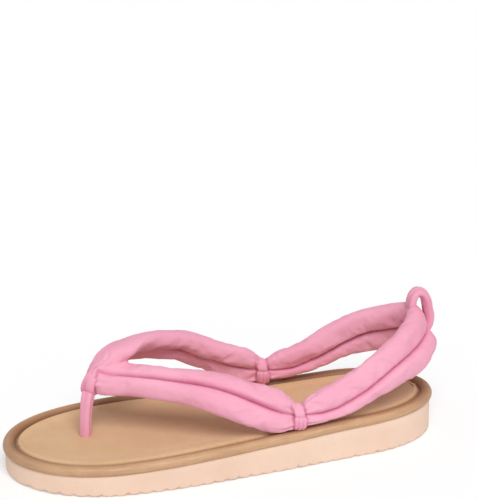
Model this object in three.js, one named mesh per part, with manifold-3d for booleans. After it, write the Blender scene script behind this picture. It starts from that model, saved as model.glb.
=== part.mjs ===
// A left-hand padded strap sandal: a foam wedge sole with a rolled rim and an insole, and one band of
// two padded rolls that runs from the toe post down the outer side, round the heel and back.
// Millimetres, +Z up, toe towards -X, outer side towards -Y, origin on the ground under the middle.
import * as THREE from "three";
import Module from "manifold-3d";
import { mergeVertices } from "three/addons/utils/BufferGeometryUtils.js";

const wasm = await Module();
wasm.setup();

// Driving sizes

const gap = 0.3;

const sole = {
  length: 250,
  width: 93,
  heelWall: 18,
  toeWall: 11,
  toeSpring: 1.1,
};
const tread = { pitch: 7.1, land: 2.6, depth: 1.2 };
const rim = { width: 7, height: 6.1, overhang: 1.3 };
const groove = { width: 1.2, step: 0.6 };
const footbed = { edgeRound: 2.2, dishDepth: 0.8, dishMargin: 7 };
const strap = { rise: 34, roll: 15, thickness: 10.5, merge: 1.4 };
const tie = { width: 6.4, thickness: 2.2, height: 16.4, depth: 10.4, stem: 4.2 };
const post = { width: 8.2, thickness: 2.4, height: 14.4, depth: 11, stem: 5, forward: 5 };
const socket = { depth: 3.5 };
const pull = { width: 8.6, thickness: 5.2, rise: 12.8, reach: 10.3 };

// The toe post's band, in degrees: turned towards the outer side, and leaning back over the strap

const postTurn = 58;
const postLean = 38;

// How finely the round shapes are cut

const finest = 0.02;
const outlineSteps = 32;
const rimSides = 10;
const rollSides = 12;
const stepsPerRow = 2;
const domeSteps = 3;
const bandSides = 8;
const loopSteps = 20;
const stemSteps = 8;
const troughSteps = 4;
const tipShare = 1 / 6;
const closest = 0.004;

// Outline of the wall: shares of the length from the heel, half-widths as shares of the width

const outlineRows = [
  { at: 0, outer: 0.375, inner: 0.377, shift: 0.01 },
  { at: 0.14, outer: 0.375, inner: 0.377, shift: 0.006 },
  { at: 0.42, outer: 0.443, inner: 0.387, shift: 0.005 },
  { at: 0.7, outer: 0.494, inner: 0.506, shift: 0.009 },
  { at: 0.86, outer: 0.473, inner: 0.482, shift: 0.018 },
  { at: 1, outer: 0.466, inner: 0.475, shift: 0.029 },
];
const heelRound = 0.206;
const toeRound = 0.225;

// Height of the wall's top: 1 is the heel's, 0 is the toe's

const wedgeRows = [
  { at: 0, high: 1 },
  { at: 0.1, high: 0.99 },
  { at: 0.22, high: 0.9 },
  { at: 0.78, high: 0.1 },
  { at: 0.9, high: 0.01 },
  { at: 1, high: 0 },
];
const springStart = 0.82;

// The crease between the strap's two rolls, from the toe post down the outer side, round the heel and
// up the inner side: along, across and up are shares of the sole's length and width and of the strap's
// rise above the footbed; leans are degrees from upright; upper, lower and thick are shares of a roll

const strapRows = [
  { along: -0.290, across: 0.129, up: 0.958, leanUpper: 88, leanLower: 25, upper: 0.2, lower: 0.74, thick: 0.86 },
  { along: -0.264, across: 0.067, up: 0.959, leanUpper: 92, leanLower: 27, upper: 0.62, lower: 0.82, thick: 0.86 },
  { along: -0.232, across: 0.011, up: 0.963, leanUpper: 92, leanLower: 28, upper: 0.98, lower: 0.85, thick: 0.85 },
  { along: -0.184, across: -0.075, up: 0.963, leanUpper: 88, leanLower: 27, upper: 1, lower: 0.88, thick: 0.88 },
  { along: -0.136, across: -0.156, up: 0.942, leanUpper: 82, leanLower: 26, upper: 1, lower: 0.92, thick: 0.9 },
  { along: -0.092, across: -0.220, up: 0.905, leanUpper: 78, leanLower: 25, upper: 1, lower: 0.96, thick: 0.92 },
  { along: -0.052, across: -0.269, up: 0.841, leanUpper: 72, leanLower: 24, upper: 1, lower: 1, thick: 0.95 },
  { along: -0.012, across: -0.310, up: 0.731, leanUpper: 63, leanLower: 22, upper: 1, lower: 1, thick: 1 },
  { along: 0.032, across: -0.344, up: 0.568, leanUpper: 52, leanLower: 16, upper: 1, lower: 1, thick: 1 },
  { along: 0.072, across: -0.369, up: 0.425, leanUpper: 36, leanLower: 8, upper: 0.97, lower: 0.97, thick: 1 },
  { along: 0.104, across: -0.380, up: 0.338, leanUpper: 18, leanLower: 2, upper: 0.76, lower: 0.82, thick: 0.95 },
  { along: 0.134, across: -0.381, up: 0.288, leanUpper: 5, leanLower: 0, upper: 0.4, lower: 0.6, thick: 0.75 },
  { along: 0.160, across: -0.381, up: 0.268, leanUpper: 10, leanLower: -6, upper: 0.75, lower: 0.52, thick: 0.9 },
  { along: 0.200, across: -0.378, up: 0.268, leanUpper: 16, leanLower: -12, upper: 0.97, lower: 0.5, thick: 1 },
  { along: 0.244, across: -0.374, up: 0.343, leanUpper: 20, leanLower: -12, upper: 1.02, lower: 0.6, thick: 1 },
  { along: 0.300, across: -0.355, up: 0.517, leanUpper: 22, leanLower: -8, upper: 1.05, lower: 0.76, thick: 1 },
  { along: 0.344, across: -0.323, up: 0.679, leanUpper: 23, leanLower: -2, upper: 1.05, lower: 0.94, thick: 1 },
  { along: 0.386, across: -0.274, up: 0.812, leanUpper: 25, leanLower: 4, upper: 1.08, lower: 1.06, thick: 1 },
  { along: 0.418, across: -0.220, up: 0.878, leanUpper: 26, leanLower: 10, upper: 1.12, lower: 1.1, thick: 1 },
  { along: 0.449, across: -0.151, up: 0.954, leanUpper: 27, leanLower: 15, upper: 1.16, lower: 1.12, thick: 0.98 },
  { along: 0.472, across: -0.075, up: 1.018, leanUpper: 28, leanLower: 20, upper: 1.18, lower: 1.12, thick: 0.95 },
  { along: 0.483, across: 0.010, up: 1.047, leanUpper: 30, leanLower: 22, upper: 1.2, lower: 1.12, thick: 0.94 },
  { along: 0.472, across: 0.095, up: 1.018, leanUpper: 28, leanLower: 20, upper: 1.18, lower: 1.12, thick: 0.95 },
  { along: 0.449, across: 0.170, up: 0.954, leanUpper: 27, leanLower: 15, upper: 1.16, lower: 1.12, thick: 0.98 },
  { along: 0.418, across: 0.231, up: 0.878, leanUpper: 26, leanLower: 10, upper: 1.12, lower: 1.1, thick: 1 },
  { along: 0.386, across: 0.274, up: 0.812, leanUpper: 25, leanLower: 4, upper: 1.08, lower: 1.06, thick: 1 },
  { along: 0.344, across: 0.312, up: 0.679, leanUpper: 23, leanLower: -2, upper: 1.05, lower: 0.94, thick: 1 },
  { along: 0.300, across: 0.333, up: 0.517, leanUpper: 22, leanLower: -8, upper: 1.05, lower: 0.76, thick: 1 },
  { along: 0.244, across: 0.340, up: 0.343, leanUpper: 20, leanLower: -12, upper: 1.02, lower: 0.6, thick: 1 },
  { along: 0.200, across: 0.338, up: 0.268, leanUpper: 16, leanLower: -12, upper: 0.97, lower: 0.5, thick: 1 },
  { along: 0.160, across: 0.335, up: 0.268, leanUpper: 10, leanLower: -6, upper: 0.75, lower: 0.52, thick: 0.9 },
  { along: 0.134, across: 0.335, up: 0.288, leanUpper: 5, leanLower: 0, upper: 0.4, lower: 0.6, thick: 0.75 },
  { along: 0.104, across: 0.353, up: 0.350, leanUpper: 18, leanLower: 2, upper: 0.76, lower: 0.82, thick: 0.95 },
  { along: 0.072, across: 0.376, up: 0.449, leanUpper: 32, leanLower: 8, upper: 0.97, lower: 0.97, thick: 1 },
  { along: 0.032, across: 0.404, up: 0.598, leanUpper: 46, leanLower: 16, upper: 1, lower: 1, thick: 1 },
  { along: -0.012, across: 0.419, up: 0.760, leanUpper: 56, leanLower: 20, upper: 1, lower: 1, thick: 1 },
  { along: -0.052, across: 0.415, up: 0.915, leanUpper: 64, leanLower: 22, upper: 1, lower: 1, thick: 1 },
  { along: -0.092, across: 0.394, up: 1.037, leanUpper: 70, leanLower: 24, upper: 1, lower: 1, thick: 1 },
  { along: -0.136, across: 0.355, up: 1.140, leanUpper: 76, leanLower: 26, upper: 1.04, lower: 1, thick: 0.95 },
  { along: -0.184, across: 0.296, up: 1.221, leanUpper: 80, leanLower: 29, upper: 1.12, lower: 1, thick: 0.92 },
  { along: -0.228, across: 0.234, up: 1.245, leanUpper: 85, leanLower: 34, upper: 1.22, lower: 1, thick: 0.9 },
  { along: -0.262, across: 0.183, up: 1.170, leanUpper: 84, leanLower: 35, upper: 0.8, lower: 0.95, thick: 0.9 },
  { along: -0.289, across: 0.134, up: 0.963, leanUpper: 86, leanLower: 27, upper: 0.22, lower: 0.72, thick: 0.84 },
];
const upperStart = 1;
const cornerShare = 0.024;
const stemBend = 0.3;
const outerTieRow = 11;
const heelRow = 21;
const innerTieRow = 31;

// The pull loop's middle line, as shares of its rise and reach from the upper roll's middle

const pullRows = [
  { up: 0.38, out: -0.05 },
  { up: 0.7, out: 0.16 },
  { up: 0.94, out: 0.45 },
  { up: 1, out: 0.78 },
  { up: 0.78, out: 0.99 },
  { up: 0.39, out: 0.97 },
  { up: -0.02, out: 0.8 },
  { up: -0.34, out: 0.67 },
  { up: -0.6, out: 0.45 },
  { up: -0.78, out: 0.14 },
];

// Smooth value of a table's column at a share, never past its neighbouring rows
function readTable(rows, column, at) {
  const last = rows.length - 1;
  let i = 0;
  while (i < last - 1 && at > rows[i + 1].at) {
    i += 1;
  }
  const rise = (k) => (rows[k + 1][column] - rows[k][column]) / (rows[k + 1].at - rows[k].at);
  const slope = (k) => {
    if (k === 0 || k === last || rise(k - 1) * rise(k) <= 0) {
      return 0;
    }
    return (2 * rise(k - 1) * rise(k)) / (rise(k - 1) + rise(k));
  };
  const span = rows[i + 1].at - rows[i].at;
  const u = (at - rows[i].at) / span;
  const start = rows[i][column] * (1 + 2 * u) * (1 - u) ** 2 + slope(i) * span * u * (1 - u) ** 2;
  const end = rows[i + 1][column] * (3 - 2 * u) * u ** 2 - slope(i + 1) * span * (1 - u) * u ** 2;
  return start + end;
}

function shareAt(x) {
  return 0.5 - x / sole.length;
}

function wallTop(at) {
  return sole.toeWall + (sole.heelWall - sole.toeWall) * readTable(wedgeRows, "high", at);
}

function footbedTop(x) {
  return wallTop(shareAt(x)) + gap + rim.height - groove.step;
}

// A point of the wall's outline; side is -1 on the outer side and 1 on the inner side
function wallPoint(at, side) {
  const heelEnd = 1 - Math.min(1, at / heelRound);
  const toeEnd = 1 - Math.min(1, (1 - at) / toeRound);
  const round = Math.sqrt(1 - heelEnd ** 2) * Math.sqrt(1 - toeEnd ** 2);
  const half = readTable(outlineRows, side < 0 ? "outer" : "inner", at) * sole.width;
  const middle = readTable(outlineRows, "shift", at) * sole.width;
  return { x: sole.length * (0.5 - at), y: middle + side * half * round, at };
}

// Counterclockwise loop: heel tip, inner side, toe tip, outer side
function outlineLoop(shares) {
  const inside = shares.slice(1, -1);
  const inner = inside.map((at) => wallPoint(at, 1));
  const outer = inside.map((at) => wallPoint(at, -1)).reverse();
  return [wallPoint(0, 1), ...inner, wallPoint(1, 1), ...outer];
}

function insetLoop(loop, distance) {
  return loop.map((point, i) => {
    const before = loop[(i + loop.length - 1) % loop.length];
    const after = loop[(i + 1) % loop.length];
    const run = Math.hypot(after.x - before.x, after.y - before.y);
    const x = point.x - (distance * (after.y - before.y)) / run;
    const y = point.y + (distance * (after.x - before.x)) / run;
    return { x, y, at: point.at };
  });
}

function evenShares() {
  const turn = (i) => 0.5 - 0.5 * Math.cos((Math.PI * i) / outlineSteps);
  return Array.from({ length: outlineSteps + 1 }, (_, i) => turn(i));
}

function raise(loop, height) {
  return loop.map((point) => new THREE.Vector3(point.x, point.y, height(point)));
}

// Triangles between two rings of the same count
function wallFaces(count, low, high) {
  const faces = [];
  for (let i = 0; i < count; i += 1) {
    const next = (i + 1) % count;
    faces.push([low + i, low + next, high + next]);
    faces.push([low + i, high + next, high + i]);
  }
  return faces;
}

// Triangles across an outline ring, from its inner side straight to its outer side
function acrossFaces(count, base, facesUp) {
  const half = count / 2;
  const faces = [];
  for (let k = 0; k < half; k += 1) {
    const inner = base + k;
    const innerNext = base + k + 1;
    const outer = base + ((count - k) % count);
    const outerNext = base + count - k - 1;
    if (k > 0) {
      faces.push([inner, outerNext, outer]);
    }
    if (k < half - 1) {
      faces.push([inner, innerNext, outerNext]);
    } else {
      faces.pop();
      faces.push([inner, innerNext, outer]);
    }
  }
  return facesUp ? faces : faces.map(([a, b, c]) => [a, c, b]);
}

// Triangles of a ring closed to its middle point
function fanFaces(count, base, middle, facesAhead) {
  const faces = [];
  for (let i = 0; i < count; i += 1) {
    const next = base + ((i + 1) % count);
    faces.push(facesAhead ? [base + i, next, middle] : [next, base + i, middle]);
  }
  return faces;
}

function geometryOf(points, faces) {
  const geometry = new THREE.BufferGeometry();
  geometry.setAttribute("position", new THREE.Float32BufferAttribute(points.flatMap((p) => p.toArray()), 3));
  geometry.setIndex(faces.flat());
  return mergeVertices(geometry);
}

// A solid of outline rings, from the lowest up, flat across at both ends
function layeredSolid(rings) {
  const count = rings[0].length;
  const faces = [...acrossFaces(count, 0, false)];
  rings.slice(1).forEach((_, i) => faces.push(...wallFaces(count, i * count, (i + 1) * count)));
  faces.push(...acrossFaces(count, (rings.length - 1) * count, true));
  return geometryOf(rings.flat(), faces);
}

// A solid whose rings follow one another back to the first
function loopedSolid(rings) {
  const count = rings[0].length;
  const faces = rings.flatMap((_, i) => wallFaces(count, i * count, ((i + 1) % rings.length) * count));
  return geometryOf(rings.flat(), faces);
}

// A solid of rings between two closing points
function sweptSolid(first, rings, last) {
  const count = rings[0].length;
  const points = [...rings.flat(), first, last];
  const faces = fanFaces(count, 0, points.length - 2, false);
  rings.slice(1).forEach((_, i) => faces.push(...wallFaces(count, i * count, (i + 1) * count)));
  faces.push(...fanFaces(count, (rings.length - 1) * count, points.length - 1, true));
  return geometryOf(points, faces);
}

function toSolid(geometry) {
  const vertProperties = new Float32Array(geometry.attributes.position.array);
  const triVerts = new Uint32Array(geometry.index.array);
  return new wasm.Manifold(new wasm.Mesh({ numProp: 3, vertProperties, triVerts }));
}

// Back to a geometry, with the slivers that a cut leaves closed up
function fromSolid(solid) {
  const made = solid.simplify(finest).getMesh();
  const geometry = new THREE.BufferGeometry();
  geometry.setAttribute("position", new THREE.BufferAttribute(new Float32Array(made.vertProperties), 3));
  geometry.setIndex(new THREE.BufferAttribute(new Uint32Array(made.triVerts), 1));
  return geometry;
}

function ovalRing(centre, first, second, firstHalf, secondHalf, sides) {
  return Array.from({ length: sides }, (_, k) => {
    const angle = (2 * Math.PI * k) / sides;
    return centre
      .clone()
      .addScaledVector(first, firstHalf * Math.cos(angle))
      .addScaledVector(second, secondHalf * Math.sin(angle));
  });
}

// Sole

// Underside: flat lands, one of them at the middle, with rounded troughs between them, and the toe's spring
function treadHeight(x) {
  const start = (x + tread.land / 2) / tread.pitch;
  const along = start - Math.floor(start);
  const land = tread.land / tread.pitch;
  const trough = along < land ? 0 : 0.5 - 0.5 * Math.cos((2 * Math.PI * (along - land)) / (1 - land));
  const spring = Math.max(0, (shareAt(x) - springStart) / (1 - springStart)) ** 2;
  return sole.toeSpring * spring + tread.depth * trough;
}

function treadShares() {
  const ends = evenShares().filter((at) => at < heelRound * tipShare || at > 1 - toeRound * tipShare);
  const shares = [];
  const half = sole.length / 2;
  for (let i = Math.ceil(-half / tread.pitch); i * tread.pitch < half; i += 1) {
    for (let k = 0; k <= troughSteps; k += 1) {
      const x = i * tread.pitch + tread.land / 2 + ((tread.pitch - tread.land) * k) / troughSteps;
      shares.push(shareAt(x));
    }
  }
  const clear = shares.filter((at) => at > 0 && at < 1 && ends.every((end) => Math.abs(end - at) > closest));
  return [...ends, ...clear].sort((a, b) => a - b);
}

function makeOutsole() {
  const loop = outlineLoop(treadShares());
  return layeredSolid([
    raise(loop, (point) => treadHeight(point.x)),
    raise(loop, (point) => wallTop(point.at)),
  ]);
}

function makeRim() {
  const loop = outlineLoop(evenShares());
  const half = rim.height / 2;
  const rings = Array.from({ length: rimSides }, (_, k) => {
    const angle = (2 * Math.PI * (k + 0.5)) / rimSides;
    const inset = rim.width / 2 - rim.overhang - (rim.width / 2) * Math.cos(angle);
    return raise(insetLoop(loop, inset), (point) => wallTop(point.at) + gap + half + half * Math.sin(angle));
  });
  return loopedSolid(rings);
}

function makeFootbed(stems) {
  const loop = outlineLoop(evenShares());
  const edge = rim.width - rim.overhang + groove.width;
  const top = rim.height - groove.step;
  const round = footbed.edgeRound;
  const layers = [
    { inset: 0, high: 0 },
    { inset: 0, high: top - round },
    { inset: round * (1 - Math.SQRT1_2), high: top - round * (1 - Math.SQRT1_2) },
    { inset: round, high: top },
    { inset: round + footbed.dishMargin, high: top - footbed.dishDepth },
  ];
  const rings = layers.map(({ inset, high }) => {
    return raise(insetLoop(loop, edge + inset), (point) => wallTop(point.at) + gap + high);
  });
  return fromSolid(stems.reduce((solid, stem) => solid.subtract(stem), toSolid(layeredSolid(rings))));
}

// Strap

const creasePoints = strapRows.map(({ along, across, up }) => {
  const x = along * sole.length;
  return new THREE.Vector3(x, across * sole.width, footbedTop(x) + up * strap.rise);
});
const crease = new THREE.CatmullRomCurve3(creasePoints, false, "centripetal");
const strapTable = strapRows.map((row, i) => ({ ...row, at: i / (strapRows.length - 1) }));

// Directions at a share of the crease: ahead, across a roll that leans, and out of its face
function strapFrame(at, lean) {
  const ahead = crease.getTangent(at);
  const inward = new THREE.Vector3(-ahead.y, ahead.x, 0).normalize();
  const upward = new THREE.Vector3().crossVectors(ahead, inward);
  const angle = THREE.MathUtils.degToRad(lean);
  const across = upward.clone().multiplyScalar(Math.cos(angle)).addScaledVector(inward, Math.sin(angle));
  const out = new THREE.Vector3().crossVectors(ahead, across);
  return { ahead, across, out };
}

// Middle and half sizes of the upper (side 1) or lower (side -1) roll at a share of the crease
function rollSection(at, side, grow) {
  const lean = readTable(strapTable, side > 0 ? "leanUpper" : "leanLower", at);
  const half = (readTable(strapTable, side > 0 ? "upper" : "lower", at) * strap.roll) / 2;
  const thick = (readTable(strapTable, "thick", at) * strap.thickness) / 2;
  const frame = strapFrame(at, lean);
  const middle = crease.getPoint(at).addScaledVector(frame.across, side * (half - strap.merge / 2));
  return { ...frame, middle, half: half + grow, thick: thick + grow };
}

// One roll from end to end, each end a dome; the upper roll starts a row in, clear of the toe post
function makeRoll(side, grow) {
  const rows = strapRows.length - 1;
  const skipped = side > 0 ? upperStart : 0;
  const steps = (rows - 2 * skipped) * stepsPerRow;
  const place = (i) => (skipped + i / stepsPerRow) / rows;
  const sections = Array.from({ length: steps + 1 }, (_, i) => rollSection(place(i), side, grow));
  const domeRing = (section, turn, way) => {
    const angle = (Math.PI / 2) * turn;
    const middle = section.middle
      .clone()
      .addScaledVector(section.ahead, way * section.thick * Math.sin(angle));
    const shrink = Math.cos(angle);
    return ovalRing(
      middle,
      section.across,
      section.out,
      section.half * shrink,
      section.thick * shrink,
      rollSides,
    );
  };
  const turns = Array.from({ length: domeSteps - 1 }, (_, i) => (i + 1) / domeSteps);
  const start = sections[0];
  const end = sections[steps];
  const rings = [
    ...turns.map((turn) => domeRing(start, turn, -1)).reverse(),
    ...sections.map((section) => domeRing(section, 0, 1)),
    ...turns.map((turn) => domeRing(end, turn, 1)),
  ];
  const first = start.middle.clone().addScaledVector(start.ahead, -start.thick);
  const last = end.middle.clone().addScaledVector(end.ahead, end.thick);
  return toSolid(sweptSolid(first, rings, last));
}

function strapSolid(grow) {
  return makeRoll(1, grow).add(makeRoll(-1, grow));
}

// A band wound once round something: middle, the directions of its long and short way round and of its axis
function windBand(middle, long, short, axis, size, grow) {
  const rings = Array.from({ length: loopSteps }, (_, i) => {
    const angle = (2 * Math.PI * i) / loopSteps;
    const longHalf = (size.height - size.thickness) / 2;
    const shortHalf = (size.depth - size.thickness) / 2;
    const centre = middle
      .clone()
      .addScaledVector(long, longHalf * Math.cos(angle))
      .addScaledVector(short, shortHalf * Math.sin(angle));
    const out = new THREE.Vector3()
      .addScaledVector(long, shortHalf * Math.cos(angle))
      .addScaledVector(short, longHalf * Math.sin(angle))
      .normalize();
    return ovalRing(centre, axis, out, size.width / 2 + grow, size.thickness / 2 + grow, bandSides);
  });
  return toSolid(loopedSolid(rings));
}

// An upright stem from a height down into the sole
function makeStem(top, bottom, x, y, radius) {
  const geometry = new THREE.CylinderGeometry(radius, radius, top - bottom, rollSides);
  geometry.deleteAttribute("normal");
  geometry.deleteAttribute("uv");
  geometry.rotateX(Math.PI / 2);
  geometry.translate(x, y, (top + bottom) / 2);
  return toSolid(mergeVertices(geometry));
}

// A tie's band, whose foot meets the rim, and its stem where it goes down just inside the rim
function tieSolid(row, grow) {
  const at = row / (strapRows.length - 1);
  const { ahead, across, out } = strapFrame(at, 0);
  const pinch = crease.getPoint(at);
  const rimTop = wallTop(shareAt(pinch.x)) + gap + rim.height;
  const foot = pinch.clone().addScaledVector(across, (rimTop - gap - pinch.z) / across.z + tie.thickness / 2);
  const middle = foot.clone().addScaledVector(across, (tie.height - tie.thickness) / 2);
  const band = windBand(middle, across, out, ahead, tie, grow);
  const side = Math.sign(middle.y);
  const wall = wallPoint(shareAt(foot.x), side);
  const y = wall.y - side * (rim.width - rim.overhang + gap + tie.stem / 2);
  const bottom = footbedTop(foot.x) - socket.depth - grow;
  return band.add(makeStem(foot.z, bottom, foot.x, y, tie.stem / 2 + grow));
}

// The toe post's band over the corner of the strap, and its flat stem, which bends down into the footbed
function postSolid(grow) {
  const { middle } = rollSection(0, -1, 0);
  const inwardStart = crease.getTangent(0);
  const inwardEnd = crease.getTangent(1).negate();
  const back = inwardStart.add(inwardEnd).setZ(0).normalize();
  back.applyAxisAngle(new THREE.Vector3(0, 0, 1), THREE.MathUtils.degToRad(postTurn));
  const axis = new THREE.Vector3(-back.y, back.x, 0);
  const lean = THREE.MathUtils.degToRad(postLean);
  const long = new THREE.Vector3(0, 0, Math.cos(lean)).addScaledVector(back, Math.sin(lean));
  const short = new THREE.Vector3().crossVectors(axis, long);
  const band = windBand(middle, long, short, axis, post, grow);
  const top = middle.clone().addScaledVector(long, -(post.height - post.thickness) / 2);
  const foot = top.clone().addScaledVector(back, -post.forward);
  foot.z = footbedTop(foot.x) - socket.depth - grow;
  const bend = top.clone().addScaledVector(long, -(top.z - foot.z) * stemBend);
  const path = new THREE.QuadraticBezierCurve3(top, bend, foot);
  const rings = Array.from({ length: stemSteps + 1 }, (_, i) => {
    const at = i / stemSteps;
    const out = new THREE.Vector3().crossVectors(path.getTangent(at), axis).normalize();
    return ovalRing(path.getPoint(at), axis, out, post.width / 2 + grow, post.stem / 2 + grow, bandSides);
  });
  return band.add(toSolid(sweptSolid(top, rings, foot)));
}

// The full, rounded corner where the rolls meet under the toe post's band
function cornerSolid() {
  const lower = [rollSection(0, -1, 0), rollSection(1, -1, 0)];
  const upper = [cornerShare, 1 - cornerShare].map((at) => rollSection(at, 1, 0));
  const points = [...lower, ...upper].flatMap(({ middle, across, out, ahead, half, thick }) => {
    return [
      ...ovalRing(middle, across, out, half, thick, rollSides),
      ...ovalRing(middle, across, ahead, half, thick, rollSides),
      ...ovalRing(middle, out, ahead, thick, thick, rollSides),
    ];
  });
  return wasm.Manifold.hull(points.map((point) => point.toArray()));
}

function makeStrap(bands) {
  const whole = strapSolid(0).add(cornerSolid());
  return fromSolid(bands.reduce((solid, band) => solid.subtract(band), whole));
}

function makePull() {
  const section = rollSection(heelRow / (strapRows.length - 1), 1, 0);
  const points = pullRows.map(({ up, out }) => {
    return section.middle
      .clone()
      .addScaledVector(section.across, up * pull.rise)
      .addScaledVector(section.out, out * pull.reach);
  });
  const path = new THREE.CatmullRomCurve3(points);
  const rings = Array.from({ length: loopSteps + 1 }, (_, i) => {
    const at = i / loopSteps;
    const out = new THREE.Vector3().crossVectors(path.getTangent(at), section.ahead).normalize();
    return ovalRing(path.getPoint(at), section.ahead, out, pull.width / 2, pull.thickness / 2, bandSides);
  });
  const loop = toSolid(sweptSolid(points[0], rings, points.at(-1)));
  return fromSolid(loop.subtract(strapSolid(gap)));
}

// Assembly

const colours = {
  foam: { color: 0xf2d1bc, roughness: 0.85 },
  rim: { color: 0xd8af8a, roughness: 0.6 },
  footbed: { color: 0xdcb48a, roughness: 0.75 },
  cloth: { color: 0xf5acc6, roughness: 0.9 },
};

function named(name, geometry, finish) {
  const flat = geometry.toNonIndexed();
  flat.computeVertexNormals();
  const mesh = new THREE.Mesh(flat, new THREE.MeshStandardMaterial({ ...finish, metalness: 0 }));
  mesh.name = name;
  return mesh;
}

const sandal = new THREE.Group();
sandal.add(named("outsole", makeOutsole(), colours.foam));
sandal.add(named("rim", makeRim(), colours.rim));
sandal.add(
  named(
    "footbed",
    makeFootbed([postSolid(gap), tieSolid(outerTieRow, gap), tieSolid(innerTieRow, gap)]),
    colours.footbed,
  ),
);
sandal.add(
  named(
    "strap",
    makeStrap([postSolid(gap), tieSolid(outerTieRow, gap), tieSolid(innerTieRow, gap)]),
    colours.cloth,
  ),
);
sandal.add(named("toe_post", fromSolid(postSolid(0)), colours.cloth));
sandal.add(named("tie_outer", fromSolid(tieSolid(outerTieRow, 0)), colours.cloth));
sandal.add(named("tie_inner", fromSolid(tieSolid(innerTieRow, 0)), colours.cloth));
sandal.add(named("heel_loop", makePull(), colours.cloth));

export default sandal;
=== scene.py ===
import math
import bmesh
import bpy
import numpy as np
from mathutils import Matrix, Vector
from mathutils.kdtree import KDTree


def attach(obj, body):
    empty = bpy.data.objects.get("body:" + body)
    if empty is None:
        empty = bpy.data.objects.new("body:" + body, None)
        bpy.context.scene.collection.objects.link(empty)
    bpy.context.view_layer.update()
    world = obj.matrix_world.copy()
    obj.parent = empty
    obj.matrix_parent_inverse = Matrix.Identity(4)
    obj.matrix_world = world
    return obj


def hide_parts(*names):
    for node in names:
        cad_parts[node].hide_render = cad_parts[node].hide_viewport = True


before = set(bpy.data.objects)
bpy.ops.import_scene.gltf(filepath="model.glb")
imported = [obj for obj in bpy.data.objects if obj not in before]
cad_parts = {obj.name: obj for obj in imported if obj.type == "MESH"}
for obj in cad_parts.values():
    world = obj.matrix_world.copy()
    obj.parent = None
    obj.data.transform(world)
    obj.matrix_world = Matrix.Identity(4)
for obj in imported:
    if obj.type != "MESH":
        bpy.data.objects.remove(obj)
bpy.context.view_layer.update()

# The sandal's sizes in millimetres: toe towards -X, outer side towards -Y, ground at Z = 0

MM = 0.001
# Clearance between pieces that sit on, beside or in one another
GAP = 0.3

# Foam wedge, with its wall's height at the heel and the toe, and the ripples under it
SOLE_LENGTH = 250
SOLE_WIDTH = 93
HEEL_WALL = 18
TOE_WALL = 11
TOE_SPRING = 1.1
TREAD_PITCH = 7.1
TREAD_DEPTH = 1.2
# Shares of the length: roundings of the heel and the toe, and where the toe starts to rise
HEEL_ROUND = 0.206
TOE_ROUND = 0.225
SPRING_START = 0.82

# Rim, the groove inside it, and the footbed with its rounded edge, its welt and its dish
RIM_WIDTH = 7
RIM_HEIGHT = 6.1
RIM_OVERHANG = 1.3
RIM_WAVE = 0.12
RIM_WAVE_LENGTH = 9
GROOVE_WIDTH = 1.2
GROOVE_STEP = 0.6
EDGE_ROUND = 2.2
WELT = 1.5
WELT_DEPTH = 1.9
DISH_DEPTH = 0.8
DISH_MARGIN = 7

# Strap: its crease's height over the footbed at the heel, and its two rolls, which merge a little
STRAP_RISE = 34
ROLL_WIDTH = 15
ROLL_THICKNESS = 10.5
ROLL_MERGE = 1.4

# Share of the length from the heel; outer and inner half-width and the middle's shift as shares of the width
OUTLINE_ROWS = np.array([
    (0, 0.375, 0.377, 0.01),
    (0.14, 0.375, 0.377, 0.006),
    (0.42, 0.443, 0.387, 0.005),
    (0.7, 0.494, 0.506, 0.009),
    (0.86, 0.473, 0.482, 0.018),
    (1, 0.466, 0.475, 0.029),
])
# Share of the length from the heel, height of the wall between the toe's and the heel's
WEDGE_ROWS = np.array([(0, 1), (0.1, 0.99), (0.22, 0.9), (0.78, 0.1), (0.9, 0.01), (1, 0)])

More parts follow.
